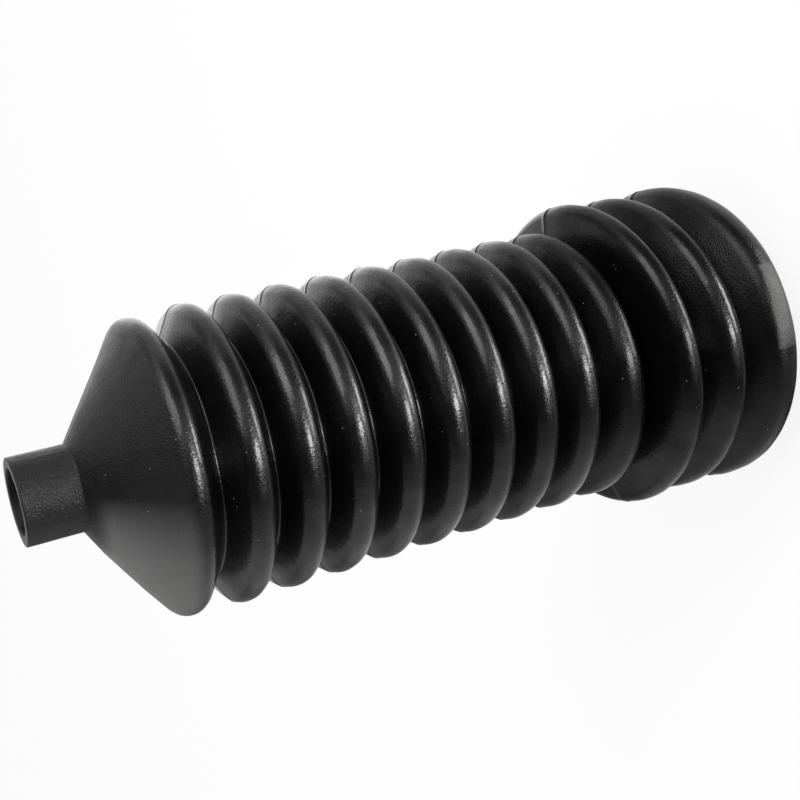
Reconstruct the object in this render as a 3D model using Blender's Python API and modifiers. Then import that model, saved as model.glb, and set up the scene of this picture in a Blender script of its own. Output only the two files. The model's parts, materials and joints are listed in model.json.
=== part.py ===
"""Steering rack boot: a one-piece moulded rubber bellows, standing on its large mouth.

The boot is a turned shell around +Z. From the top down it has a plain cuff that grips the tie rod, a cone,
ten small ridges, three large ridges and a short collar that grips the rack housing. The origin is the
centre of the large mouth's end face. All sizes are in metres.
"""
from dataclasses import dataclass, replace
from math import acos, atan2, cos, hypot, pi, radians, sin

import bpy

# Cuff on the tie rod, at the top
CUFF_RADIUS = 0.0093
CUFF_BORE_RADIUS = 0.0070
CUFF_LENGTH = 0.0115
CUFF_CREASE_ROUND = 0.0006

# Cone below the cuff, which ends in the first ridge
CONE_HEIGHT = 0.0175
FIRST_CREST_RADIUS = 0.0317
FIRST_CREST_ROUND = 0.0030

# Small ridges that follow the first one, all alike
SMALL_RIDGE_COUNT = 9
FIRST_GAP = 0.0120
SMALL_PITCH = 0.0109
SMALL_CREST_RADIUS = 0.0323
SMALL_CREST_ROUND = 0.0032
SMALL_VALLEY_RADIUS = 0.0254

# Shoulder ridge, where the boot steps out to its large section
STEP_GAP = 0.0115
SHOULDER_CREST_RADIUS = 0.0374
SHOULDER_UPPER_ROUND = 0.0032
SHOULDER_LOWER_ROUND = 0.0028

# Middle one of the three large ridges
MIDDLE_GAP = 0.0127
MIDDLE_CREST_RADIUS = 0.0369
MIDDLE_UPPER_ROUND = 0.0034
MIDDLE_LOWER_ROUND = 0.0032
LARGE_VALLEY_RADIUS = 0.0305

# Last ridge, which turns under towards the collar
LAST_GAP = 0.0138
LAST_CREST_RADIUS = 0.0374
LAST_UPPER_ROUND = 0.0040
LAST_LOWER_ROUND = 0.0085

# Collar on the rack housing, at the bottom
COLLAR_RADIUS = 0.0245
COLLAR_BORE_RADIUS = 0.0222
COLLAR_LENGTH = 0.0060
COLLAR_CREASE_ROUND = 0.0008

# Rubber
WALL = 0.0018
VALLEY_ROUND = 0.0004
EDGE_ROUND = 0.0004

# Facets
TURN_STEPS = 28
SMALL_ROUND_FACETS = 4
LARGE_ROUND_FACETS = 6
FOLD_FACETS = 2
EDGE_FACETS = 2
INNER_SMALL_FACETS = 2
INNER_LARGE_FACETS = 4
MERGE_DISTANCE = 0.00005
SHARP_ANGLE = radians(40)

# Moulded black rubber
RUBBER_COLOUR = (0.012, 0.012, 0.013, 1.0)
RUBBER_ROUGHNESS = 0.34
RUBBER_METALLIC = 0.0

OUTWARD = 1
INWARD = -1


@dataclass(frozen=True)
class Bend:
    """One rounded bend of the wall, as a circle above and below its extreme point.

    radius is the extreme point's distance from the axis and height is its height. A bend that faces
    OUTWARD is a ridge's crest, and one that faces INWARD is a valley or a crease.
    """

    radius: float
    height: float
    upper_round: float
    lower_round: float
    facing: int
    facets: int
    inner_facets: int

    def centre(self, rounding):
        """Centre of the circle with this rounding that touches the extreme point."""
        return self.radius - self.facing * rounding, self.height

    def inside(self, depth):
        """The same bend on the inner surface, which lies this deep under the outer one."""
        change = -self.facing * depth
        return Bend(self.radius - depth, self.height, self.upper_round + change,
                    self.lower_round + change, self.facing, self.inner_facets, self.inner_facets)


def ridge_heights():
    """Heights of the crests above the large mouth, from the top ridge to the last one."""
    last = COLLAR_LENGTH + LAST_LOWER_ROUND
    middle = last + LAST_GAP
    shoulder = middle + MIDDLE_GAP
    lowest_small = shoulder + STEP_GAP
    small = [lowest_small + SMALL_PITCH * step for step in reversed(range(SMALL_RIDGE_COUNT))]
    first = small[0] + FIRST_GAP
    return [first] + small + [shoulder, middle, last]


def boot_height():
    """Height of the small mouth above the large one."""
    return ridge_heights()[0] + CONE_HEIGHT + CUFF_LENGTH


def small_crests(heights):
    """The crests of the small ridges, top to bottom."""
    first = Bend(FIRST_CREST_RADIUS, heights[0], FIRST_CREST_ROUND, FIRST_CREST_ROUND, OUTWARD,
                 SMALL_ROUND_FACETS, INNER_SMALL_FACETS)
    alike = [Bend(SMALL_CREST_RADIUS, height, SMALL_CREST_ROUND, SMALL_CREST_ROUND, OUTWARD,
                  SMALL_ROUND_FACETS, INNER_SMALL_FACETS) for height in heights[1:]]
    return [first] + alike


def large_crests(heights):
    """The crests of the three large ridges, top to bottom."""
    sizes = ((SHOULDER_CREST_RADIUS, SHOULDER_UPPER_ROUND, SHOULDER_LOWER_ROUND),
             (MIDDLE_CREST_RADIUS, MIDDLE_UPPER_ROUND, MIDDLE_LOWER_ROUND),
             (LAST_CREST_RADIUS, LAST_UPPER_ROUND, LAST_LOWER_ROUND))
    return [Bend(radius, height, upper, lower, OUTWARD, LARGE_ROUND_FACETS, INNER_LARGE_FACETS)
            for (radius, upper, lower), height in zip(sizes, heights)]


def valley(above, below, radius):
    """The narrow valley halfway down from one crest to the next."""
    middle = (above.height + below.height) / 2
    return Bend(radius, middle, VALLEY_ROUND, VALLEY_ROUND, INWARD, FOLD_FACETS, FOLD_FACETS)


def crease(radius, height, rounding):
    """The rounded inner corner where the wall meets an upright cuff or collar."""
    return Bend(radius, height, rounding, rounding, INWARD, FOLD_FACETS, FOLD_FACETS)


def outer_bends():
    """All bends of the outer surface between the cuff and the collar, top to bottom."""
    heights = ridge_heights()
    small = small_crests(heights[:SMALL_RIDGE_COUNT + 1])
    large = large_crests(heights[SMALL_RIDGE_COUNT + 1:])
    bends = [crease(CUFF_RADIUS, boot_height() - CUFF_LENGTH, CUFF_CREASE_ROUND)]
    for above, below in zip(small, small[1:] + large[:1]):
        bends += [above, valley(above, below, SMALL_VALLEY_RADIUS)]
    for above, below in zip(large, large[1:]):
        bends += [above, valley(above, below, LARGE_VALLEY_RADIUS)]
    collar_top = COLLAR_LENGTH - COLLAR_CREASE_ROUND
    return bends + [large[-1], crease(COLLAR_RADIUS, collar_top, COLLAR_CREASE_ROUND)]


def inner_bends():
    """The bends of the inner surface, one wall under the outer ones, between the two bores."""
    bends = [bend.inside(WALL) for bend in outer_bends()]
    bends[0] = replace(bends[0], radius=CUFF_BORE_RADIUS)
    bends[-1] = replace(bends[-1], radius=COLLAR_BORE_RADIUS)
    return bends


def flank_angle(above, below):
    """Direction of the outward normal on the straight flank between two bends.

    The flank touches the lower circle of the bend above and the upper circle of the bend below.
    """
    from_r, from_z = above.centre(above.lower_round)
    to_r, to_z = below.centre(below.upper_round)
    run, drop = to_r - from_r, to_z - from_z
    spread = above.facing * above.lower_round - below.facing * below.upper_round
    return atan2(drop, run) + acos(max(-1.0, min(1.0, spread / hypot(run, drop))))


def bend_points(bend, angle_in, angle_out):
    """Points round a bend, from the flank above it to the flank below it.

    The extreme point at angle zero is always one of them, so that the bend keeps its full radius.
    """
    points = []
    half = bend.facets // 2
    for start, stop, rounding in ((angle_in, 0.0, bend.upper_round), (0.0, angle_out, bend.lower_round)):
        if start == stop:
            continue
        centre_r, centre_z = bend.centre(rounding)
        first = 1 if points else 0
        for step in range(first, half + 1):
            angle = start + (stop - start) * step / half
            points.append((centre_r + bend.facing * rounding * cos(angle),
                           centre_z + bend.facing * rounding * sin(angle)))
    return points


def surface_line(bends):
    """Points down one surface, from the cuff's crease to the collar's crease."""
    flanks = [flank_angle(above, below) for above, below in zip(bends, bends[1:])]
    angles = [0.0] + flanks + [0.0]
    points = []
    for bend, angle_in, angle_out in zip(bends, angles, angles[1:]):
        points += bend_points(bend, angle_in, angle_out)
    return points


def edge_points(radius, height, side, upright):
    """Points of a mouth's rounded edge, from its end face to its wall.

    side is OUTWARD for the outer edge and INWARD for the bore's edge. upright is 1 on the top mouth and
    -1 on the bottom one.
    """
    centre_r = radius - side * EDGE_ROUND
    centre_z = height - upright * EDGE_ROUND
    points = []
    for step in range(EDGE_FACETS + 1):
        angle = pi / 2 * (1 - step / EDGE_FACETS)
        points.append((centre_r + side * EDGE_ROUND * cos(angle),
                       centre_z + upright * EDGE_ROUND * sin(angle)))
    return points


def boot_profile():
    """The closed section at +X: down the outer surface, across the large mouth and up inside."""
    top = boot_height()
    outer = (edge_points(CUFF_RADIUS, top, OUTWARD, 1)
             + surface_line(outer_bends())
             + list(reversed(edge_points(COLLAR_RADIUS, 0.0, OUTWARD, -1))))
    inner = (edge_points(CUFF_BORE_RADIUS, top, INWARD, 1)
             + surface_line(inner_bends())
             + list(reversed(edge_points(COLLAR_BORE_RADIUS, 0.0, INWARD, -1))))
    return outer + list(reversed(inner))


def rubber_material():
    """Black moulded rubber with a soft shine."""
    material = bpy.data.materials.new("black_moulded_rubber")
    material.use_nodes = True
    shader = material.node_tree.nodes["Principled BSDF"]
    shader.inputs["Base Color"].default_value = RUBBER_COLOUR
    shader.inputs["Roughness"].default_value = RUBBER_ROUGHNESS
    shader.inputs["Metallic"].default_value = RUBBER_METALLIC
    material.diffuse_color = RUBBER_COLOUR
    return material


def turned_mesh(name, profile):
    """A mesh made by turning a closed profile once around +Z."""
    outline = bpy.data.meshes.new(name + "_profile")
    count = len(profile)
    outline.from_pydata([(radius, 0.0, height) for radius, height in profile],
                        [(index, (index + 1) % count) for index in range(count)], [])
    turning = bpy.data.objects.new(name + "_turning", outline)
    bpy.context.scene.collection.objects.link(turning)
    screw = turning.modifiers.new("Turn", "SCREW")
    screw.axis = "Z"
    screw.angle = 2 * pi
    screw.steps = TURN_STEPS
    screw.render_steps = TURN_STEPS
    screw.use_merge_vertices = True
    screw.merge_threshold = MERGE_DISTANCE
    bpy.context.view_layer.update()
    evaluated = turning.evaluated_get(bpy.context.evaluated_depsgraph_get())
    mesh = bpy.data.meshes.new_from_object(evaluated)
    mesh.name = name
    bpy.data.objects.remove(turning)
    bpy.data.meshes.remove(outline)
    mesh.shade_smooth()
    mesh.set_sharp_from_angle(angle=SHARP_ANGLE)
    return mesh


def build_boot(collection):
    """The whole boot as one shell, open at both mouths."""
    mesh = turned_mesh("rack_boot", boot_profile())
    mesh.materials.append(rubber_material())
    boot = bpy.data.objects.new("rack_boot", mesh)
    collection.objects.link(boot)
    return boot


def main():
    """Clear the scene and build the boot."""
    for old in list(bpy.data.objects):
        bpy.data.objects.remove(old)
    collection = bpy.data.collections.new("steering_rack_boot")
    bpy.context.scene.collection.children.link(collection)
    build_boot(collection)


main()
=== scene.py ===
"""A steering rack boot in moulded black rubber, standing on its large mouth on a pale studio floor.

The boot's classes repeat the part's section with finer arcs, and add what a mould leaves on rubber: the
parting line, a slight unevenness, and the lean of the large folds, of the first small ones and of the
cone. All lengths are in metres.
"""
import json
import logging
from dataclasses import dataclass, field, replace
from enum import Enum
from math import acos, atan2, cos, hypot, pi, radians, sin, tan
from typing import Any, Optional, Sequence

import bpy
import numpy as np
from mathutils import Matrix, Vector

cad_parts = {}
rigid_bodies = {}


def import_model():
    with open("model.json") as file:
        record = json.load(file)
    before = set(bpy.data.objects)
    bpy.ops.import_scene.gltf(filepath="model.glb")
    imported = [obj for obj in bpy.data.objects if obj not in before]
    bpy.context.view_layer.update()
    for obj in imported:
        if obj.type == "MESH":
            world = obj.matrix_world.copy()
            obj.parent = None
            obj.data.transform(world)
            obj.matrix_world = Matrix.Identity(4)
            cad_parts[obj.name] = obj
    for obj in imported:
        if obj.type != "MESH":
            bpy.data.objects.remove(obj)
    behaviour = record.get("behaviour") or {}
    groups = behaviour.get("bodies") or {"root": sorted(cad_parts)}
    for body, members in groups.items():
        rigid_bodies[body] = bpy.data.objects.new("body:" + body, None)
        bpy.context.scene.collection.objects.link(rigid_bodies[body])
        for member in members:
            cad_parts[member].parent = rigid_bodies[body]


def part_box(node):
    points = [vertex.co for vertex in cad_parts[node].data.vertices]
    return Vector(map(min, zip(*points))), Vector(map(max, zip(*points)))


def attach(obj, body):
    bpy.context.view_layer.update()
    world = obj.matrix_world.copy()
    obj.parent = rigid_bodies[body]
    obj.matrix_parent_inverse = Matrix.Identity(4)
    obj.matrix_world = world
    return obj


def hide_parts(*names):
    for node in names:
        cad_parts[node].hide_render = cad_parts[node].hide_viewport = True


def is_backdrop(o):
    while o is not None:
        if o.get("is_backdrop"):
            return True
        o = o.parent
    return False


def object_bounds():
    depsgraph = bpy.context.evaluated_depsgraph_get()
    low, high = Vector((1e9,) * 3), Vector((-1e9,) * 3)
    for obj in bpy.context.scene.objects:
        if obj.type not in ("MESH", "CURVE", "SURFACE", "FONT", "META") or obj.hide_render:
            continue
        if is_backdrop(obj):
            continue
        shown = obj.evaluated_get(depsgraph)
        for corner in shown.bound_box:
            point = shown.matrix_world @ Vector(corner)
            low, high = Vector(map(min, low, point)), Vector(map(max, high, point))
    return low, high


LOG = logging.getLogger("rack_boot")

MM = 0.001
NODE = "rack_boot"
BODY = "root"
WHITE = (1.0, 1.0, 1.0, 1.0)
SMOOTH = {"interpolation_type": "SMOOTHSTEP"}

Tree = bpy.types.NodeTree
Node = bpy.types.Node
Socket = bpy.types.NodeSocket


def linear(hex_colour: str) -> tuple[float, float, float, float]:
    """Turn an sRGB hex colour into a linear one.

    Args:
        hex_colour: Six hex digits after a hash sign.

    Returns:
        Linear red, green and blue, and an alpha of one.
    """
    channels = []
    for start in (1, 3, 5):
        value = int(hex_colour[start:start + 2], 16) / 255
        channels.append(value / 12.92 if value <= 0.04045 else ((value + 0.055) / 1.055) ** 2.4)
    return channels[0], channels[1], channels[2], 1.0


def set_inputs(tree: Tree, node: Node, sockets: Any) -> None:
    """Give a node's input sockets their values and links.

    Args:
        tree: The node tree that holds the node.
        node: The node.
        sockets: What goes in, by the socket's name or index, or else in the sockets' order. An output socket
            is linked, and so is a node, by its first output.
    """
    for name, value in sockets.items() if isinstance(sockets, dict) else enumerate(sockets):
        source = value.outputs[0] if isinstance(value, Node) else value
        if isinstance(source, Socket):
            tree.links.new(source, node.inputs[name])
        else:
            node.inputs[name].default_value = source


def add_node(tree: Tree, kind: str, settings: Optional[dict[str, Any]] = None, sockets: Any = ()) -> Node:
    """Add one node with its settings, values and links.

    Args:
        tree: The node tree that gets the node.
        kind: The node's type name.
        settings: The node's own options by attribute name.
        sockets: What goes into its input sockets.

    Returns:
        The new node.
    """
    node = tree.nodes.new(kind)
    for name, value in (settings or {}).items():
        setattr(node, name, value)
    set_inputs(tree, node, sockets)
    return node


def empty_material(name: str) -> bpy.types.Material:
    """Make a material whose node tree holds nothing but its output.

    Args:
        name: The material's name.

    Returns:
        The material.
    """
    material = bpy.data.materials.new(name)
    material.use_nodes = True
    nodes = material.node_tree.nodes
    nodes.remove(nodes["Principled BSDF"])
    return material


def add_object(name: str, data: bpy.types.ID) -> bpy.types.Object:
    """Make an object from its data and put it in the scene.

    Args:
        name: The object's name.
        data: Its mesh, lamp or camera.

    Returns:
        The object.
    """
    added = bpy.data.objects.new(name, data)
    bpy.context.scene.collection.objects.link(added)
    return added


class Facing(Enum):
    """Which way a bend of the wall bulges."""

    CREST = 1
    VALLEY = -1


class Side(Enum):
    """A side of the wall, for the rounded edges of the mouths."""

    OUTER = 1
    BORE = -1


@dataclass(frozen=True)
class Bend:
    """One rounded bend of the wall, as a circle above and below its extreme point.

    Attributes:
        radius: Distance of the extreme point from the axis.
        height: Height of the extreme point.
        upper_round: Rounding above the extreme point.
        lower_round: Rounding below it.
        facing: Crest or valley.
        steps: Rows of mesh round the whole bend.
    """

    radius: float
    height: float
    upper_round: float
    lower_round: float
    facing: Facing
    steps: int

    def centre(self, rounding: float) -> tuple[float, float]:
        """Centre of the circle with this rounding that touches the extreme point."""
        return self.radius - self.facing.value * rounding, self.height

    def inside(self, depth: float, steps: int) -> "Bend":
        """The same bend on the inner surface, this deep under the outer one."""
        change = -self.facing.value * depth
        return Bend(self.radius - depth, self.height, self.upper_round + change,
                    self.lower_round + change, self.facing, steps)


@dataclass(frozen=True)
class Cuff:
    """The plain cuff that grips the tie rod, at the top."""

    radius: float = 9.3 * MM
    bore_radius: float = 7.0 * MM
    length: float = 11.5 * MM
    crease_round: float = 0.6 * MM
    crease_steps: int = 6

    def crease(self, top: float) -> Bend:
        """The rounded inner corner between the cuff and the cone."""
        return Bend(self.radius, top - self.length, self.crease_round, self.crease_round,
                    Facing.VALLEY, self.crease_steps)


@dataclass(frozen=True)
class SmallFolds:
    """The cone and the ten small ridges below the cuff.

    Attributes:
        cone_height: From the cuff down to the crest of the cone's foot, which is the first ridge.
        first_crest_radius: Radius of that crest.
        first_crest_round: Its rounding.
        first_gap: From that crest down to the next one.
        later_count: How many ridges follow the first.
        pitch: From crest to crest of those.
        crest_radius: Radius of their crests.
        crest_round: Rounding of their crests.
        valley_radius: Radius of the valleys.
        crest_steps: Rows of mesh round a crest.
    """

    cone_height: float = 17.5 * MM
    first_crest_radius: float = 31.7 * MM
    first_crest_round: float = 3.0 * MM
    first_gap: float = 12.0 * MM
    later_count: int = 9
    pitch: float = 10.9 * MM
    crest_radius: float = 32.3 * MM
    crest_round: float = 3.2 * MM
    valley_radius: float = 25.4 * MM
    crest_steps: int = 18

    def heights(self, lowest: float) -> list[float]:
        """Heights of the crests, top to bottom, from the height of the lowest one."""
        later = [lowest + self.pitch * step for step in reversed(range(self.later_count))]
        return [later[0] + self.first_gap] + later

    def crests(self, lowest: float) -> list[Bend]:
        """The crests, top to bottom.

        Args:
            lowest: Height of the lowest crest.

        Returns:
            One bend for each crest.
        """
        first, *later = self.heights(lowest)
        bends = [Bend(self.first_crest_radius, first, self.first_crest_round, self.first_crest_round,
                      Facing.CREST, self.crest_steps)]
        for height in later:
            bends.append(Bend(self.crest_radius, height, self.crest_round, self.crest_round,
                              Facing.CREST, self.crest_steps))
        return bends


@dataclass(frozen=True)
class LargeFolds:
    """The shoulder, the middle ridge and the last ridge of the large section.

    Attributes:
        step_gap: From the lowest small crest down to the shoulder's.
        shoulder_radius: Radius of the shoulder's crest.
        shoulder_upper_round: Its rounding above.
        shoulder_lower_round: Its rounding below.
        middle_gap: From the shoulder's crest down to the middle one.
        middle_radius: Radius of the middle crest.
        middle_upper_round: Its rounding above.
        middle_lower_round: Its rounding below.
        last_gap: From the middle crest down to the last one.
        last_radius: Radius of the last crest.
        last_upper_round: Its rounding above.
        last_lower_round: Its rounding below.
        valley_radius: Radius of the valleys.
        crest_steps: Rows of mesh round a crest.
    """

    step_gap: float = 11.5 * MM
    shoulder_radius: float = 37.4 * MM
    shoulder_upper_round: float = 3.2 * MM
    shoulder_lower_round: float = 2.8 * MM
    middle_gap: float = 12.7 * MM
    middle_radius: float = 36.9 * MM
    middle_upper_round: float = 3.4 * MM
    middle_lower_round: float = 3.2 * MM
    last_gap: float = 13.8 * MM
    last_radius: float = 37.4 * MM
    last_upper_round: float = 4.0 * MM
    last_lower_round: float = 8.5 * MM
    valley_radius: float = 30.5 * MM
    crest_steps: int = 22

    def crests(self, last_height: float) -> list[Bend]:
        """The crests, top to bottom.

        Args:
            last_height: Height of the last ridge's crest.

        Returns:
            One bend for each crest.
        """
        middle_height = last_height + self.last_gap
        shoulder_height = middle_height + self.middle_gap
        return [Bend(self.shoulder_radius, shoulder_height, self.shoulder_upper_round,
                     self.shoulder_lower_round, Facing.CREST, self.crest_steps),
                Bend(self.middle_radius, middle_height, self.middle_upper_round,
                     self.middle_lower_round, Facing.CREST, self.crest_steps),
                Bend(self.last_radius, last_height, self.last_upper_round, self.last_lower_round,
                     Facing.CREST, self.crest_steps)]


@dataclass(frozen=True)
class Collar:
    """The short collar that grips the rack housing, at the bottom."""

    radius: float = 24.5 * MM
    bore_radius: float = 22.2 * MM
    length: float = 6.0 * MM
    crease_round: float = 0.8 * MM
    crease_steps: int = 6

    def crease(self) -> Bend:
        """The rounded inner corner between the last ridge and the collar."""
        return Bend(self.radius, self.length - self.crease_round, self.crease_round, self.crease_round,
                    Facing.VALLEY, self.crease_steps)


@dataclass(frozen=True)
class MouldLine:
    """The raised line where the halves of the mould met, down both sides of the folds.

    Attributes:
        width: Width of the line.
        height: How far it stands proud.
        angle: Turn from the front to the line, in radians.
        full_to: Height up to which it is full.
        gone_from: Height from which it has gone, as a one-piece ring moulded what is above.
    """

    width: float = 0.45 * MM
    height: float = 0.14 * MM
    angle: float = radians(87)
    full_to: float = 144 * MM
    gone_from: float = 149 * MM

    def offsets(self) -> list[float]:
        """Places of the mesh columns across the line, as shares of its width."""
        return [-0.5, -0.25, 0.0, 0.25, 0.5]

    def lift(self, share: float) -> float:
        """How far the surface stands proud at a share of the width from the middle."""
        return self.height * cos(pi * share) if abs(share) < 0.5 else 0.0

    def strength(self, heights: np.ndarray) -> np.ndarray:
        """Share of the full line at each height."""
        return np.clip((self.gone_from - heights) / (self.gone_from - self.full_to), 0.0, 1.0)


@dataclass(frozen=True)
class Unevenness:
    """The slight waves of a thick rubber wall that cooled unevenly.

    Attributes:
        depth: Depth of the deepest hollow.
        waves: How many waves are summed.
        turns: Fewest and most waves round the boot.
        lengths: Shortest and longest wave along the axis.
        seed: Seed of the random draws.
    """

    depth: float = 0.16 * MM
    waves: int = 40
    turns: tuple[int, int] = (3, 34)
    lengths: tuple[float, float] = (7 * MM, 45 * MM)
    seed: int = 12

    def depths(self, angles: np.ndarray, heights: np.ndarray) -> np.ndarray:
        """How deep each point lies under the true surface.

        Args:
            angles: Turn of each point from the front.
            heights: Height of each point.

        Returns:
            Depths from zero to the depth of the deepest hollow.
        """
        draws = np.random.default_rng(self.seed)
        total = np.zeros_like(angles)
        for _ in range(self.waves):
            turns = draws.integers(self.turns[0], self.turns[1] + 1)
            rate = 2 * pi / draws.uniform(*self.lengths) * draws.choice((-1.0, 1.0))
            phase = draws.uniform(0, 2 * pi)
            total += np.sin(turns * angles + rate * heights + phase) / turns ** 0.5
        low, high = total.min(), total.max()
        return self.depth * (high - total) / (high - low)


@dataclass(frozen=True)
class Lean:
    """A stretch of the boot that leans a little, because soft folds never stand quite true.

    Attributes:
        low: Height where the lean starts.
        full_low: Height from which it is full.
        full_high: Height up to which it is full.
        high: Height where it has gone again.
        side_tilt: Rise for each metre towards +X.
        back_tilt: Rise for each metre towards +Y.
        rise: Rise on the axis.
    """

    low: float
    full_low: float
    full_high: float
    high: float
    side_tilt: float
    back_tilt: float
    rise: float

    @staticmethod
    def eased(share: np.ndarray) -> np.ndarray:
        """A share held between zero and one, with a soft start and a soft end."""
        held = np.clip(share, 0.0, 1.0)
        return held * held * (3 - 2 * held)

    def rises(self, x: np.ndarray, y: np.ndarray, z: np.ndarray) -> np.ndarray:
        """How far each point moves up.

        Args:
            x: X of each point.
            y: Y of each point.
            z: Z of each point.

        Returns:
            The rises, zero outside the stretch.
        """
        coming = self.eased((z - self.low) / (self.full_low - self.low))
        going = self.eased((self.high - z) / (self.high - self.full_high))
        return coming * going * (self.side_tilt * x + self.back_tilt * y + self.rise)


def foot_lean() -> Lean:
    """The lean of the large folds."""
    return Lean(low=6 * MM, full_low=13 * MM, full_high=44 * MM, high=62 * MM,
                side_tilt=0.055, back_tilt=0.035, rise=-0.3 * MM)


def head_lean() -> Lean:
    """The lean of the cone and the first folds."""
    return Lean(low=105 * MM, full_low=138 * MM, full_high=164 * MM, high=170 * MM,
                side_tilt=-0.020, back_tilt=0.010, rise=0.3 * MM)


def cone_lean() -> Lean:
    """The further lean of the cone alone."""
    return Lean(low=152 * MM, full_low=158 * MM, full_high=164 * MM, high=170 * MM,
                side_tilt=-0.014, back_tilt=0.0, rise=0.1 * MM)


@dataclass(frozen=True)
class Zones:
    """Where each finish lies on the boot, as the nodes and sockets of one tree that say so.

    Attributes:
        tree: The node tree.
        place: The boot's own coordinates.
        height: Their Z.
        mottle: A noise around one half.
        dull: The duller finish of the cone and the cuff, from zero to one.
        bare: The last ridge and the collar, which carry no wax, from zero to one.
        reflection_patch: The patch of painted reflection on the last ridge, from zero to one.
    """

    tree: Tree
    place: Socket
    height: Socket
    mottle: Node
    dull: Node
    bare: Node
    reflection_patch: Node


@dataclass(frozen=True)
class MouldedRubber:
    """Black EPDM rubber, as a polished steel mould leaves it.

    The folds come out with a soft gloss, and a thin skin of wax that rose out of the rubber lies over it and
    draws the lamps into long, sharp streaks. The cone and the cuff were formed by a blasted part of the
    mould, so they are duller and look a little greyer. One side of the cone is painted paler, as painted
    light where more light falls on it, and a grey patch on the last ridge is a painted reflection.
    """

    # The folds are glossy, and the cone and the cuff are dull.
    body_colour: str = "#040405"
    dull_colour: str = "#0c0c0d"
    refraction: float = 1.5
    gloss_specular: float = 0.25
    dull_specular: float = 0.30
    gloss_roughness: float = 0.31
    dull_roughness: float = 0.45
    # The large folds shine less. The shine goes down between these two heights.
    foot_specular: float = 0.11
    foot_from: float = 58 * MM
    foot_to: float = 48 * MM
    # The last ridge and the collar carry no wax.
    bare_specular: float = 0.22
    bare_from: float = 24 * MM
    bare_to: float = 19 * MM
    # A grey patch on the last ridge is a painted reflection; the rubber there is also rougher.
    painted_reflection_colour: str = "#4b4b49"
    reflection_patch_roughness: float = 0.66
    # The least and the most wax, and the stretch of the noise that they belong to.
    wax_shares: tuple[float, float] = (0.06, 0.40)
    wax_range: tuple[float, float] = (0.35, 0.65)
    wax_width: float = 16.0 * MM
    wax_roughness: float = 0.10
    # The lowest small fold has lost most of its wax.
    worn_fold: float = 52 * MM
    worn_reach: float = 6 * MM
    worn_share: float = 0.35
    # Painted light: the cone is made paler on one side. It goes from none to full as the cosine of the turn
    # from this side rises through the range, and it fades out below the cuff, from the one height to the
    # other.
    painted_light_colour: str = "#666665"
    painted_light_side: tuple[float, float, float] = (-1.0, 0.0, 0.0)
    painted_light_range: tuple[float, float] = (0.25, 1.0)
    painted_light_low: float = 165 * MM
    painted_light_high: float = 168 * MM
    # How far the roughness goes up and down with the mottling, and the stretch of the noise that does it.
    mottle_share: float = 0.05
    mottle_range: tuple[float, float] = (0.3, 0.7)
    mottle_width: float = 4.0 * MM
    # Real moulding grain is about 0.1 mm wide. It is drawn four times as coarse, so that it shows.
    grain_width: float = 0.42 * MM
    grain_depth: float = 0.30 * MM
    gloss_grain: float = 0.35
    dull_grain: float = 0.7
    wax_grain: float = 0.12
    peel_width: float = 1.3 * MM
    peel_depth: float = 0.04 * MM
    # Real dust is finer than a tenth of a millimetre, and is drawn larger for the same reason.
    dust_colour: str = "#8f8f8c"
    dust_spacing: float = 1.5 * MM
    dust_size: float = 0.14 * MM
    # A cell holds a speck if its own random number is above a limit, which is lower inside a patch.
    dust_limits: tuple[float, float] = (0.80, 0.45)
    dust_range: tuple[float, float] = (0.58, 0.72)
    dust_patch_width: float = 9.0 * MM

    def material(self, dull_from: float, dull_to: float, patch: "PaintedReflectionPatch") -> bpy.types.Material:
        """Make the material.

        Args:
            dull_from: Height where the surface starts to turn dull, going up.
            dull_to: Height where it is fully dull.
            patch: The patch of painted reflection on the last ridge.

        Returns:
            The material, laid out in the boot's own coordinates.
        """
        material = bpy.data.materials.new("black_moulded_epdm_rubber")
        material.use_nodes = True
        tree = material.node_tree
        place = add_node(tree, "ShaderNodeTexCoord").outputs["Object"]
        axes = add_node(tree, "ShaderNodeSeparateXYZ", sockets=(place,))
        height = axes.outputs["Z"]
        mottle = add_node(tree, "ShaderNodeTexNoise", sockets={
            "Vector": place, "Scale": 1.0 / self.mottle_width, "Detail": 3.0, "Roughness": 0.55})
        dull, bare = (add_node(tree, "ShaderNodeMapRange", SMOOTH, (height, start, stop))
                      for start, stop in ((dull_from, dull_to), (self.bare_from, self.bare_to)))
        zones = Zones(tree, place, height, mottle, dull, bare, patch.mask(tree, axes, mottle))
        shader = tree.nodes["Principled BSDF"]
        set_inputs(tree, shader, {
            "Base Color": self._colour(zones), "Roughness": self._roughness(zones), "IOR": self.refraction,
            "Specular IOR Level": self._specular_level(zones), "Coat Weight": self._wax(zones),
            "Coat Roughness": self.wax_roughness})
        self._relief(zones, shader)
        return material

    def _roughness(self, zones: Zones) -> Node:
        """How rough the rubber itself is.

        Args:
            zones: Where each finish lies.

        Returns:
            The roughness, mottled a little everywhere.
        """
        rough = self.gloss_roughness
        for share, other in ((zones.dull, self.dull_roughness), (zones.reflection_patch, self.reflection_patch_roughness)):
            rough = add_node(zones.tree, "ShaderNodeMix", sockets={0: share, 2: rough, 3: other})
        change = add_node(zones.tree, "ShaderNodeMapRange", sockets=(
            zones.mottle, *self.mottle_range, -self.mottle_share, self.mottle_share))
        return add_node(zones.tree, "ShaderNodeMath", {"operation": "ADD"}, (rough, change))

    def _specular_level(self, zones: Zones) -> Node:
        """How much the rubber shines: soot in it swallows a part, so this is under the usual one half.

        Args:
            zones: Where each finish lies.

        Returns:
            The level.
        """
        foot = add_node(zones.tree, "ShaderNodeMapRange", SMOOTH,
                        (zones.height, self.foot_from, self.foot_to))
        level = self.gloss_specular
        for share, other in ((foot, self.foot_specular), (zones.bare, self.bare_specular),
                             (zones.dull, self.dull_specular), (zones.reflection_patch, self.dull_specular)):
            level = add_node(zones.tree, "ShaderNodeMix", sockets={0: share, 2: level, 3: other})
        return level

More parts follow.
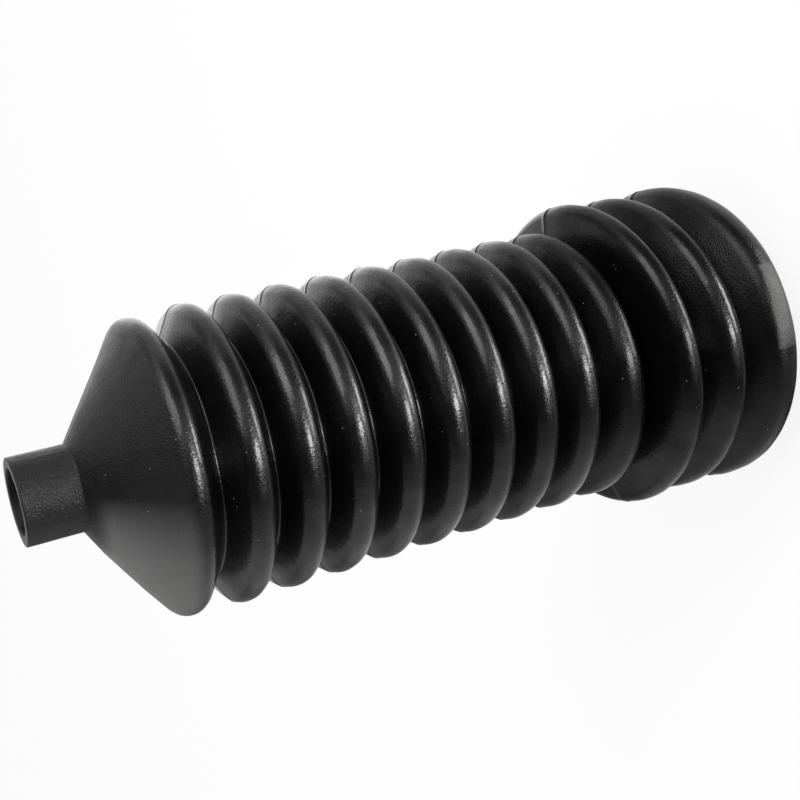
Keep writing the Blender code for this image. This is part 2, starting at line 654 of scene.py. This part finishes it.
    def _wax(self, zones: Zones) -> Node:
        """How much wax lies over the rubber.

        Args:
            zones: Where each finish lies.

        Returns:
            A smeary share, which is low on one worn fold and zero where there is no wax.
        """
        tree = zones.tree
        smears = add_node(tree, "ShaderNodeTexNoise", sockets={
            "Vector": zones.place, "Scale": 1.0 / self.wax_width, "Detail": 4.0, "Roughness": 0.6})
        smear = add_node(tree, "ShaderNodeMapRange", sockets=(smears, *self.wax_range, *self.wax_shares))
        off = add_node(tree, "ShaderNodeMath", {"operation": "SUBTRACT"}, (zones.height, self.worn_fold))
        away = add_node(tree, "ShaderNodeMath", {"operation": "ABSOLUTE"}, (off,))
        unworn = add_node(tree, "ShaderNodeMapRange", SMOOTH,
                          (away, self.worn_reach / 2, self.worn_reach, self.worn_share, 1.0))
        wax = add_node(tree, "ShaderNodeMath", {"operation": "MULTIPLY"}, (smear, unworn))
        for share in (zones.bare, zones.dull, zones.reflection_patch):
            wax = add_node(tree, "ShaderNodeMix", sockets={0: share, 2: wax, 3: 0.0})
        return wax

    def _colour(self, zones: Zones) -> Socket:
        """The rubber's colour, with the dust on it, and with painted light: one side of the cone painted
        paler, and a grey patch of painted reflection on the last ridge.

        Args:
            zones: Where each finish lies.

        Returns:
            The colour.
        """
        colour = linear(self.body_colour)
        # Painted light: one side of the cone is made paler, and a grey patch on the last ridge is a painted
        # reflection.
        for share, other in ((zones.dull, self.dull_colour), (self._painted_side_light(zones), self.painted_light_colour),
                             (zones.reflection_patch, self.painted_reflection_colour), (self._dust(zones), self.dust_colour)):
            colour = add_node(zones.tree, "ShaderNodeMix", {"data_type": "RGBA"},
                              {0: share, 6: colour, 7: linear(other)}).outputs[2]
        return colour

    def _relief(self, zones: Zones, shader: Node) -> None:
        """Link the fine relief: moulding grain in the rubber, which the wax over it fills in.

        Args:
            zones: Where each finish lies.
            shader: The shader that gets the relief.
        """
        tree = zones.tree
        grain, peel = (add_node(tree, "ShaderNodeTexNoise", sockets={
            "Vector": zones.place, "Scale": 1.0 / width, "Detail": 2.0, "Roughness": 0.6})
            for width in (self.grain_width, self.peel_width))
        skin = add_node(tree, "ShaderNodeBump", sockets={
            "Height": peel, "Distance": self.peel_depth, "Strength": 1.0})
        in_rubber = add_node(tree, "ShaderNodeMix", sockets={
            0: zones.dull, 2: self.gloss_grain, 3: self.dull_grain})
        for name, strength in (("Normal", in_rubber), ("Coat Normal", self.wax_grain)):
            bump = add_node(tree, "ShaderNodeBump", sockets={
                "Normal": skin, "Height": grain, "Distance": self.grain_depth, "Strength": strength})
            set_inputs(tree, shader, {name: bump})

    def _painted_side_light(self, zones: Zones) -> Node:
        """Painted light: the cone made paler on one side, as if more light fell on that side.

        Args:
            zones: Where each finish lies.

        Returns:
            The share of the painted light, which is zero on the cuff and on the folds.
        """
        tree = zones.tree
        level = add_node(tree, "ShaderNodeVectorMath", {"operation": "MULTIPLY"},
                         (zones.place, (1, 1, 0)))
        outward = add_node(tree, "ShaderNodeVectorMath", {"operation": "NORMALIZE"}, (level,))
        facing = add_node(tree, "ShaderNodeVectorMath", {"operation": "DOT_PRODUCT"},
                          (outward, self.painted_light_side))
        side_light_share = add_node(tree, "ShaderNodeMapRange", sockets=(facing.outputs["Value"], *self.painted_light_range))
        under_cuff = add_node(tree, "ShaderNodeMapRange", SMOOTH,
                              (zones.height, self.painted_light_high, self.painted_light_low))
        for share in (under_cuff, zones.dull):
            side_light_share = add_node(tree, "ShaderNodeMath", {"operation": "MULTIPLY"}, (side_light_share, share))
        return side_light_share

    def _dust(self, zones: Zones) -> Node:
        """The dust: pale specks that lie together in loose patches, at most one in each cell.

        Args:
            zones: Where each finish lies.

        Returns:
            One on a speck and zero beside it.
        """
        tree = zones.tree
        cells = add_node(tree, "ShaderNodeTexVoronoi", sockets={
            "Vector": zones.place, "Scale": 1.0 / self.dust_spacing, "Randomness": 1.0})
        reach = self.dust_size / self.dust_spacing
        speck = add_node(tree, "ShaderNodeMapRange", SMOOTH,
                         (cells.outputs["Distance"], reach, reach / 2))
        patches = add_node(tree, "ShaderNodeTexNoise", sockets={
            "Vector": zones.place, "Scale": 1.0 / self.dust_patch_width, "Detail": 1.0})
        limit = add_node(tree, "ShaderNodeMapRange", sockets=(patches, *self.dust_range, *self.dust_limits))
        chosen = add_node(tree, "ShaderNodeMath", {"operation": "GREATER_THAN"},
                          (cells.outputs["Color"], limit))
        return add_node(tree, "ShaderNodeMath", {"operation": "MULTIPLY"}, (speck, chosen))


@dataclass(frozen=True)
class PaintedReflectionPatch:
    """A grey patch of painted reflection on the last ridge, where the rubber is also rougher and shines
    less.

    Attributes:
        first_turn: Turn from the front where the patch starts, in radians.
        last_turn: Turn where it ends.
        top: Height of its upper edge.
        bottom: Height of its lower edge.
        edge_turn: Width of its soft ends, in radians.
        edge_height: Width of its soft upper and lower edges.
        ragged: How far the noise pulls its edges, as a share of the edge widths.
        faint_share: What is left of it at the end where it starts.
        streak_share: What is left of it in the streaks where the noise is low.
        streak_range: The stretch of the noise that goes from the streaks to the full patch.
    """

    first_turn: float = radians(-14)
    last_turn: float = radians(16)
    top: float = 14.1 * MM
    bottom: float = 6.0 * MM
    edge_turn: float = radians(1.0)
    edge_height: float = 0.9 * MM
    ragged: float = 2.0
    faint_share: float = 0.5
    streak_share: float = 0.6
    streak_range: tuple[float, float] = (0.35, 0.6)

    def mask(self, tree: Tree, axes: Node, mottle: Node) -> Node:
        """Add the nodes that find the patch.

        Args:
            tree: The material's node tree.
            axes: The node that splits the place into X, Y and Z.
            mottle: A noise around one half that makes the edges ragged.

        Returns:
            A node that says one on the patch and zero elsewhere.
        """
        front = add_node(tree, "ShaderNodeMath", {"operation": "MULTIPLY"}, (axes.outputs["Y"], -1.0))
        turn = add_node(tree, "ShaderNodeMath", {"operation": "ARCTAN2"}, (axes.outputs["X"], front))
        pull = add_node(tree, "ShaderNodeMath", {"operation": "SUBTRACT"}, (mottle, 0.5))
        shares = []
        for value, start, stop, edge in (
                (turn, self.first_turn, self.last_turn, self.edge_turn),
                (axes.outputs["Z"], self.bottom, self.top, self.edge_height)):
            moved = add_node(tree, "ShaderNodeMath", {"operation": "MULTIPLY_ADD"},
                             (pull, self.ragged * edge, value))
            shares += [add_node(tree, "ShaderNodeMapRange", SMOOTH, (moved, outside, inside))
                       for outside, inside in ((start - edge, start), (stop + edge, stop))]
        shares.append(add_node(tree, "ShaderNodeMapRange", sockets=(
            mottle, *self.streak_range, self.streak_share, 1.0)))
        found = add_node(tree, "ShaderNodeMapRange", sockets=(
            turn, self.first_turn, self.last_turn, self.faint_share, 1.0))
        for share in shares:
            found = add_node(tree, "ShaderNodeMath", {"operation": "MULTIPLY"}, (found, share))
        return found


@dataclass
class RackBoot:
    """The whole boot as one shell, open at both mouths.

    Attributes:
        top: Height of the small mouth, which the frame gives.
        cuff: The cuff at the small mouth.
        small: The cone and the small ridges.
        large: The large ridges.
        collar: The collar at the large mouth.
        line: The mould lines.
        waves: The unevenness of the outer surface.
        leans: The stretches that lean.
        rubber: The finish.
        patch: The rubbed patch.
        wall: Thickness of the rubber.
        valley_round: Rounding of the outer valleys.
        edge_round: Rounding of the mouths' edges.
        columns: Mesh columns round the boot, without those of the mould lines.
        valley_steps: Mesh rows round a valley on the outer surface.
        inner_crest_steps: Mesh rows round a crest on the inner surface.
        inner_valley_steps: Mesh rows round a valley on the inner surface.
        flank_steps: Mesh rows down a flank of the outer surface.
        wall_steps: Mesh rows down the cuff or the collar.
        edge_steps: Mesh rows round an edge of a mouth.
    """

    top: float
    cuff: Cuff = field(default_factory=Cuff)
    small: SmallFolds = field(default_factory=SmallFolds)
    large: LargeFolds = field(default_factory=LargeFolds)
    collar: Collar = field(default_factory=Collar)
    line: MouldLine = field(default_factory=MouldLine)
    waves: Unevenness = field(default_factory=Unevenness)
    leans: tuple[Lean, ...] = field(default_factory=lambda: (foot_lean(), head_lean(), cone_lean()))
    rubber: MouldedRubber = field(default_factory=MouldedRubber)
    patch: PaintedReflectionPatch = field(default_factory=PaintedReflectionPatch)
    wall: float = 1.8 * MM
    valley_round: float = 0.4 * MM
    edge_round: float = 0.4 * MM
    columns: int = 144
    valley_steps: int = 8
    inner_crest_steps: int = 5
    inner_valley_steps: int = 3
    flank_steps: int = 4
    wall_steps: int = 4
    edge_steps: int = 4

    def outer_bends(self) -> list[Bend]:
        """All bends of the outer surface.

        Returns:
            The bends, from the cuff's crease down to the collar's.
        """
        last_height = self.collar.length + self.large.last_lower_round
        large = self.large.crests(last_height)
        small = self.small.crests(large[0].height + self.large.step_gap)
        bends = [self.cuff.crease(self.top)]
        for above, below in zip(small, small[1:] + large[:1]):
            bends += [above, self.valley(above, below, self.small.valley_radius)]
        for above, below in zip(large, large[1:]):
            bends += [above, self.valley(above, below, self.large.valley_radius)]
        return bends + [large[-1], self.collar.crease()]

    def inner_bends(self) -> list[Bend]:
        """The bends of the inner surface, one wall under the outer ones.

        Returns:
            The bends, from the cuff's crease down to the collar's.
        """
        steps = {Facing.CREST: self.inner_crest_steps, Facing.VALLEY: self.inner_valley_steps}
        bends = [bend.inside(self.wall, steps[bend.facing]) for bend in self.outer_bends()]
        bends[0] = replace(bends[0], radius=self.cuff.bore_radius)
        bends[-1] = replace(bends[-1], radius=self.collar.bore_radius)
        return bends

    def valley(self, above: Bend, below: Bend, radius: float) -> Bend:
        """The narrow valley halfway down from one crest to the next."""
        return Bend(radius, (above.height + below.height) / 2, self.valley_round, self.valley_round,
                    Facing.VALLEY, self.valley_steps)

    @staticmethod
    def flank_angle(above: Bend, below: Bend) -> float:
        """Direction of the outward normal on the straight flank between two bends.

        Args:
            above: The bend at the flank's upper end.
            below: The bend at its lower end.

        Returns:
            The angle above the horizontal, in radians.
        """
        from_r, from_z = above.centre(above.lower_round)
        to_r, to_z = below.centre(below.upper_round)
        run, drop = to_r - from_r, to_z - from_z
        # The flank is the straight line that touches the circles of both bends.
        surplus = above.facing.value * above.lower_round - below.facing.value * below.upper_round
        return atan2(drop, run) + acos(max(-1.0, min(1.0, surplus / hypot(run, drop))))

    @staticmethod
    def bend_rows(bend: Bend, angle_in: float, angle_out: float) -> list[tuple[float, float, float]]:
        """Rows round a bend, from the flank above it to the flank below it.

        Args:
            bend: The bend.
            angle_in: Direction of the normal on the flank above.
            angle_out: Direction of the normal on the flank below.

        Returns:
            Radius, height and direction of the normal for each row.
        """
        rows = []
        half = max(1, bend.steps // 2)
        facing = bend.facing.value
        for start, stop, rounding in ((angle_in, 0.0, bend.upper_round),
                                      (0.0, angle_out, bend.lower_round)):
            # A crease at a straight wall is half a bend.
            if start == stop:
                continue
            centre_r, centre_z = bend.centre(rounding)
            for step in range(1 if rows else 0, half + 1):
                angle = start + (stop - start) * step / half
                rows.append((centre_r + facing * rounding * cos(angle),
                             centre_z + facing * rounding * sin(angle), angle))
        return rows

    def surface_rows(self, bends: Sequence[Bend], flank_steps: int) -> list[tuple[float, float, float]]:
        """Rows down one surface, from the cuff's crease to the collar's.

        Args:
            bends: The surface's bends, top to bottom.
            flank_steps: Rows down each straight flank.

        Returns:
            Radius, height and direction of the normal for each row.
        """
        flanks = [self.flank_angle(above, below) for above, below in zip(bends, bends[1:])]
        angles = [0.0] + flanks + [0.0]
        rows = []
        for bend, angle_in, angle_out in zip(bends, angles, angles[1:]):
            arc = self.bend_rows(bend, angle_in, angle_out)
            if rows:
                rows += self.straight_rows(rows[-1], arc[0], flank_steps)
            rows += arc
        return rows

    @staticmethod
    def straight_rows(start: tuple[float, float, float], stop: tuple[float, float, float],
                      steps: int) -> list[tuple[float, float, float]]:
        """Rows between two others, without these two, on a straight line."""
        return [tuple(first + (last - first) * (step / steps) for first, last in zip(start, stop))
                for step in range(1, steps)]

    def edge_rows(self, radius: float, height: float, side: Side,
                  upright: int) -> list[tuple[float, float, float]]:
        """Rows of a mouth's rounded edge, from its end face to its wall.

        Args:
            radius: Radius of the wall.
            height: Height of the end face.
            side: The outer wall or the bore.
            upright: One at the top mouth, minus one at the bottom one.

        Returns:
            Radius, height and direction of the normal for each row.
        """
        centre_r = radius - side.value * self.edge_round
        centre_z = height - upright * self.edge_round
        rows = []
        for step in range(self.edge_steps + 1):
            angle = pi / 2 * (1 - step / self.edge_steps)
            rows.append((centre_r + side.value * self.edge_round * cos(angle),
                         centre_z + upright * self.edge_round * sin(angle), upright * angle))
        return rows

    def side_rows(self, side: Side) -> list[tuple[float, float, float]]:
        """All rows of one side of the wall.

        Args:
            side: The outer wall or the bore.

        Returns:
            Radius, height and direction of the normal for each row, from the top mouth to the bottom one.
        """
        if side is Side.OUTER:
            radii = self.cuff.radius, self.collar.radius
            middle = self.surface_rows(self.outer_bends(), self.flank_steps)
        else:
            radii = self.cuff.bore_radius, self.collar.bore_radius
            middle = self.surface_rows(self.inner_bends(), 1)
        head = self.edge_rows(radii[0], self.top, side, 1)
        foot = list(reversed(self.edge_rows(radii[1], 0.0, side, -1)))
        return (head + self.straight_rows(head[-1], middle[0], self.wall_steps) + middle
                + self.straight_rows(middle[-1], foot[0], self.wall_steps) + foot)

    def column_angles(self, radii: np.ndarray, heights: np.ndarray) -> tuple[np.ndarray, np.ndarray]:
        """Turn of every mesh point, with extra columns across the two mould lines.

        Args:
            radii: Radius of each row.
            heights: Height of each row.

        Returns:
            The turns, one row of the array for each row of the mesh, and how proud each column stands.
        """
        half = self.columns // 2
        shares = self.line.offsets()
        turns, lifts = [], []
        for side in range(2):
            start = np.full_like(heights, self.line.angle + pi * side)
            for share in shares:
                turns.append(start + share * self.line.width / radii)
                lifts.append(self.line.lift(share))
            for step in range(1, half):
                turns.append(start + pi * step / half)
                lifts.append(0.0)
        return np.stack(turns, axis=1), np.array(lifts)

    def points(self, rows: np.ndarray, outer_count: int) -> np.ndarray:
        """Place every mesh point, with the mould lines, the unevenness and the leans.

        Args:
            rows: Radius, height and direction of the normal for each row.
            outer_count: How many rows, from the first one, lie on the outer surface.

        Returns:
            The places by row, column and axis.
        """
        radii, heights, slopes = rows[:, 0:1], rows[:, 1:2], rows[:, 2:3]
        turns, lifts = self.column_angles(rows[:, 0], rows[:, 1])
        depth = self.waves.depths(turns, np.broadcast_to(heights, turns.shape))
        lift = lifts[None, :] * self.line.strength(heights)
        # The end faces, the mouths' edges and the inner surface stay plain.
        on_wall = np.sqrt(np.abs(np.cos(slopes)))
        on_wall[outer_count:] = 0.0
        from_mouth = np.clip(np.minimum(heights, self.top - heights) / self.edge_round, 0.0, 1.0)
        reach = (lift - depth) * on_wall * from_mouth ** 2
        # The proud mould line stays within the width of the widest fold, which is the part's own width.
        radius = np.minimum(radii + reach * np.cos(slopes), radii.max())
        height = heights + reach * np.sin(slopes)
        x, y = radius * np.sin(turns), -radius * np.cos(turns)
        height = height + sum(lean.rises(x, y, height) for lean in self.leans)
        return np.stack([x, y, height], axis=-1)

    def mesh(self) -> bpy.types.Mesh:
        """Make the mesh: down the outer surface, across the large mouth and up inside.

        Returns:
            The boot's mesh.
        """
        outer = self.side_rows(Side.OUTER)
        inner = self.side_rows(Side.BORE)
        points = self.points(np.array(outer + list(reversed(inner))), len(outer))
        index = np.arange(points.size // 3).reshape(points.shape[:2])
        below = np.roll(index, -1, axis=0)
        faces = np.stack([index, below, np.roll(below, -1, axis=1), np.roll(index, -1, axis=1)], axis=-1)
        mesh = bpy.data.meshes.new("rack_boot_rubber")
        mesh.from_pydata(points.reshape(-1, 3).tolist(), [], faces.reshape(-1, 4).tolist())
        mesh.validate()
        mesh.shade_smooth()
        return mesh

    def build(self) -> bpy.types.Object:
        """Make the boot, dress it and put it in the place of the frame's node.

        Returns:
            The boot's object.
        """
        boot = add_object("rack_boot_rubber", self.mesh())
        cone_foot = self.top - self.cuff.length - self.small.cone_height
        fully_dull = cone_foot + self.small.first_crest_round
        boot.data.materials.append(self.rubber.material(cone_foot, fully_dull, self.patch))
        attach(boot, BODY)
        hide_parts(NODE)
        return boot


@dataclass(frozen=True)
class StudioFloor:
    """A pale, matt painted floor that keeps a faint shadow of the boot.

    Attributes:
        side: Length of the square's side.
        drop: How far the floor lies under the boot's end face.
        colour: Colour of the paint.
        paint_share: Share of the paint in what the camera sees. The rest is plain white.
    """

    side: float = 14.0
    drop: float = 0.2 * MM
    colour: str = "#fafafa"
    paint_share: float = 0.14

    def build(self) -> bpy.types.Object:
        """Returns:
            The floor's object.
        """
        half = self.side / 2
        mesh = bpy.data.meshes.new("studio_floor")
        mesh.from_pydata([(-half, -half, -self.drop), (half, -half, -self.drop),
                          (half, half, -self.drop), (-half, half, -self.drop)], [], [(0, 1, 2, 3)])
        floor = add_object("studio_floor", mesh)
        mesh.materials.append(self.material())
        # Lamps lie below the level of the floor, where the reflections in the boot need them, so the floor
        # lets their light and the rays of reflections pass. What is beyond it there is white too.
        floor.visible_shadow = False
        floor.visible_glossy = False
        floor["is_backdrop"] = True
        return floor

    def material(self) -> bpy.types.Material:
        """Make matt white paint, with plain white added where the camera looks at it.

        Returns:
            The material.
        """
        material = empty_material("matt_white_floor_paint")
        tree = material.node_tree
        paint = add_node(tree, "ShaderNodeBsdfDiffuse", sockets={"Color": linear(self.colour)})
        white = add_node(tree, "ShaderNodeEmission", sockets={"Color": WHITE, "Strength": 1.0})
        part = add_node(tree, "ShaderNodeMixShader", sockets=(self.paint_share, white, paint))
        seen = add_node(tree, "ShaderNodeMixShader", sockets=(seen_directly(tree), paint, part))
        set_inputs(tree, tree.nodes["Material Output"], {"Surface": seen})
        return material


def seen_directly(tree: Tree) -> Node:
    """Tell rays that look at a thing from light that falls on it.

    Args:
        tree: The node tree that gets the nodes.

    Returns:
        A node that says one for rays of the camera, of a reflection or through glass, and else zero.
    """
    path = add_node(tree, "ShaderNodeLightPath")
    seen = path.outputs["Is Camera Ray"]
    for kind in ("Is Glossy Ray", "Is Transmission Ray"):
        seen = add_node(tree, "ShaderNodeMath", {"operation": "MAXIMUM"}, (seen, path.outputs[kind]))
    return seen


@dataclass(frozen=True)
class WhiteRoom:
    """The white room round the floor: plain white to look at, and a soft light from all sides.

    Attributes:
        light: Strength of the soft light, where one is white.
    """

    light: float = 0.8

    def build(self) -> bpy.types.World:
        """Make the world.

        Returns:
            The world.
        """
        world = bpy.data.worlds.new("white_room")
        bpy.context.scene.world = world
        world.use_nodes = True
        tree = world.node_tree
        soft = tree.nodes["Background"]
        set_inputs(tree, soft, {"Color": WHITE, "Strength": self.light})
        white = add_node(tree, "ShaderNodeBackground", sockets={"Color": WHITE, "Strength": 1.0})
        mixed = add_node(tree, "ShaderNodeMixShader", sockets=(seen_directly(tree), soft, white))
        set_inputs(tree, tree.nodes["World Output"], {"Surface": mixed})
        return world


def direction(bearing: float, elevation: float) -> Vector:
    """A unit vector from its bearing, counted from the front towards +X, and its elevation, in degrees."""
    turn, rise = radians(bearing), radians(elevation)
    return Vector((sin(turn) * cos(rise), -cos(turn) * cos(rise), sin(rise)))


@dataclass(frozen=True)
class SoftBox:
    """A flat studio lamp that faces the middle of the boot.

    Attributes:
        name: The lamp's name.
        bearing: Its bearing from the boot, in degrees from the front towards +X.
        elevation: Its elevation as seen from the boot, in degrees.
        distance: Its distance from the middle of the boot.
        width: The angle across it, in degrees.
        height: The angle from its lower to its upper side, in degrees.
        brightness: Radiance of its face, where one is white.
        lights_surfaces: False for a lamp that shows in reflections alone.
    """

    name: str
    bearing: float
    elevation: float
    distance: float
    width: float
    height: float
    brightness: float
    lights_surfaces: bool = True

    def build(self, middle: Vector) -> bpy.types.Object:
        """Make the lamp. The camera doesn't see it, but reflections do.

        Args:
            middle: The middle of the boot.

        Returns:
            The lamp's object.
        """
        data = bpy.data.lights.new(self.name, "AREA")
        data.shape = "RECTANGLE"
        data.size = 2 * self.distance * tan(radians(self.width / 2))
        data.size_y = 2 * self.distance * tan(radians(self.height / 2))
        # The face of an area lamp of this power has the radiance that brightness says.
        data.energy = self.brightness * data.size * data.size_y * pi
        lamp = add_object(self.name, data)
        back = direction(self.bearing, self.elevation)
        lamp.location = middle + back * self.distance
        lamp.rotation_mode = "QUATERNION"
        lamp.rotation_quaternion = (-back).to_track_quat("-Z", "Y")
        lamp.visible_camera = False
        lamp.visible_diffuse = self.lights_surfaces
        return lamp


@dataclass(frozen=True)
class ShadeReflectionSheet:
    """A sheet hung in an arc that glows dimly at set tones and shows only in reflections: it paints dark and
    grey reflections where the white room would show, some of them painted shade from round the boot's foot.

    Attributes:
        name: The sheet's name.
        bearing: Bearing of its middle, in degrees from the front towards +X.
        low: Elevation of its lower end, in degrees.
        high: Elevation of its upper end, which may lie beyond the zenith.
        width: Width of the sheet.
        distance: Its distance from the middle of the boot.
        low_tone: How bright its lower end looks, where one is white.
        high_tone: How bright its upper end looks.
        side_hem: Share of the width over which each side thins out to white.
        end_hem: Share of the arc over which each end thins out to white.
        steps: Flat pieces along the arc.
    """

    name: str
    bearing: float
    low: float
    high: float
    width: float
    distance: float
    low_tone: float
    high_tone: float
    side_hem: float = 0.4
    end_hem: float = 0.1
    steps: int = 16

    def build(self, middle: Vector) -> bpy.types.Object:
        """Make the sheet. Only reflections see it, and it takes no light from the boot or the floor.

        Args:
            middle: The middle of the boot.

        Returns:
            The cloth's object.
        """
        across = direction(self.bearing + 90, 0) * (self.width / 2)
        points = []
        for step in range(self.steps + 1):
            rise = self.low + (self.high - self.low) * step / self.steps
            on_arc = middle + direction(self.bearing, rise) * self.distance
            points += [on_arc - across, on_arc + across]
        faces = [(2 * step, 2 * step + 1, 2 * step + 3, 2 * step + 2) for step in range(self.steps)]
        mesh = bpy.data.meshes.new(self.name)
        mesh.from_pydata(points, [], faces)
        layer = mesh.uv_layers.new(name="weave")
        for loop in mesh.loops:
            layer.data[loop.index].uv = (loop.vertex_index % 2, loop.vertex_index // 2 / self.steps)
        mesh.materials.append(self.material())
        shade_sheet = add_object(self.name, mesh)
        shade_sheet.visible_camera = False
        shade_sheet.visible_diffuse = False
        shade_sheet.visible_shadow = False
        shade_sheet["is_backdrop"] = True
        return shade_sheet

    def material(self) -> bpy.types.Material:
        """Make the sheet's glow at its tones, which paints dark reflections and thins out to white at its
        edges.

        Returns:
            The material.
        """
        material = empty_material("painted_shade_reflection_" + self.name)
        tree = material.node_tree
        along = add_node(tree, "ShaderNodeUVMap", {"uv_map": "weave"})
        split = add_node(tree, "ShaderNodeSeparateXYZ", sockets=(along,))
        tone = add_node(tree, "ShaderNodeMapRange", sockets=(
            split.outputs["Y"], 0.0, 1.0, self.low_tone, self.high_tone))
        for axis, hem in (("X", self.side_hem), ("Y", self.end_hem)):
            for start, stop in ((hem, 0.0), (1.0 - hem, 1.0)):
                thin = add_node(tree, "ShaderNodeMapRange", SMOOTH, (split.outputs[axis], start, stop))
                tone = add_node(tree, "ShaderNodeMix", sockets={0: thin, 2: tone, 3: 1.0})
        glow = add_node(tree, "ShaderNodeEmission", sockets={"Color": WHITE, "Strength": tone})
        set_inputs(tree, tree.nodes["Material Output"], {"Surface": glow})
        return material


@dataclass(frozen=True)
class Portrait:
    """The camera, which looks down on the boot's front and is rolled so that the boot lies across.

    Attributes:
        place: Where the camera stands.
        target: The point in the middle of the picture.
        roll: Turn of the camera about its own axis, in radians.
        lens: Focal length in millimetres.
        sensor: Width of the sensor in millimetres.
        nearest: Distance from which it shows things.
        farthest: Distance up to which it shows them.
    """

    place: tuple[float, float, float] = (0.0, -0.25589, 0.21000)
    target: tuple[float, float, float] = (0.00103, 0.0, 0.09374)
    roll: float = radians(-104.23)
    lens: float = 55.49
    sensor: float = 36.0
    nearest: float = 0.01
    farthest: float = 50.0

    def build(self) -> bpy.types.Object:
        """Make the camera and set it as the scene's own.

        Returns:
            The camera's object.
        """
        data = bpy.data.cameras.new("portrait")
        data.lens = self.lens
        data.sensor_width = self.sensor
        data.clip_start = self.nearest
        data.clip_end = self.farthest
        camera = add_object("portrait", data)
        place = Vector(self.place)
        forward = (Vector(self.target) - place).normalized()
        level_right = forward.cross(Vector((0, 0, 1))).normalized()
        level_up = level_right.cross(forward)
        right = level_right * cos(self.roll) + level_up * sin(self.roll)
        up = right.cross(forward)
        turned = Matrix((right, up, -forward)).transposed()
        camera.matrix_world = Matrix.Translation(place) @ turned.to_4x4()
        bpy.context.scene.camera = camera
        return camera


@dataclass
class Studio:
    """The floor, the white room, the lamps, the glowing sheets that paint dark reflections, and the camera.

    Attributes:
        floor: The floor under the boot.
        room: The world round it.
        camera: The camera.
    """

    floor: StudioFloor = field(default_factory=StudioFloor)
    room: WhiteRoom = field(default_factory=WhiteRoom)
    camera: Portrait = field(default_factory=Portrait)

    def lamps(self) -> list[SoftBox]:
        """The lamps, each named for what it does in the picture."""
        # Bearing, elevation, distance, width, height and brightness.
        return [
            SoftBox("front_streak", -8, -18, 0.60, 12, 25, 41.0, lights_surfaces=False),
            SoftBox("foot_streak", 14, -56, 0.40, 24, 18, 19.0, lights_surfaces=False),
            SoftBox("high_glow", 44, 35, 0.90, 36, 36, 5.0),
            SoftBox("back_right", 158, -8, 1.00, 44, 40, 1.3, lights_surfaces=False),
        ]

    def shade_sheets(self) -> list[ShadeReflectionSheet]:
        """The glowing sheets that paint dark reflections, each named for its place."""
        # Bearing, lower and upper end, width, distance, tones, and where they differ the two hems.
        return [
            # Each sheet paints a dark reflection. Those at the left back and the left foot are painted
            # shade, in place of the shade under and beside the boot.
            ShadeReflectionSheet("behind_camera", -24, -80, 130, 2.0, 1.0, 0.20, 0.02),
            ShadeReflectionSheet("right_front", 57, -55, 15, 1.2, 1.0, 0.20, 0.20),
            ShadeReflectionSheet("upper_right", 112, 12, 62, 0.9, 1.0, 0.35, 0.35, 0.35, 0.25),
            ShadeReflectionSheet("left_back", -146, -34, 40, 1.0, 1.1, 0.25, 0.25, 0.35, 0.25),
            ShadeReflectionSheet("left_foot", -100, -88, -45, 2.0, 1.1, 0.05, 0.10, 0.3, 0.2),
        ]

    def build(self, middle: Vector) -> None:
        """Make all of it.

        Args:
            middle: The middle of the boot.
        """
        scene = bpy.context.scene
        scene.view_settings.view_transform = "Standard"
        self.floor.build()
        self.room.build()
        for lamp in self.lamps():
            lamp.build(middle)
        for shade_sheet in self.shade_sheets():
            shade_sheet.build(middle)
        self.camera.build()


def main() -> None:
    """Load the frame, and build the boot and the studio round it."""
    logging.basicConfig(level=logging.INFO, format="%(message)s")
    for old in list(bpy.data.objects):
        bpy.data.objects.remove(old)
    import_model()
    frame_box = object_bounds()
    boot = RackBoot(top=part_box(NODE)[1].z).build()
    LOG.info("%s: %d faces", boot.name, len(boot.data.polygons))
    Studio().build((frame_box[0] + frame_box[1]) / 2)


if __name__ == "__main__":
    main()
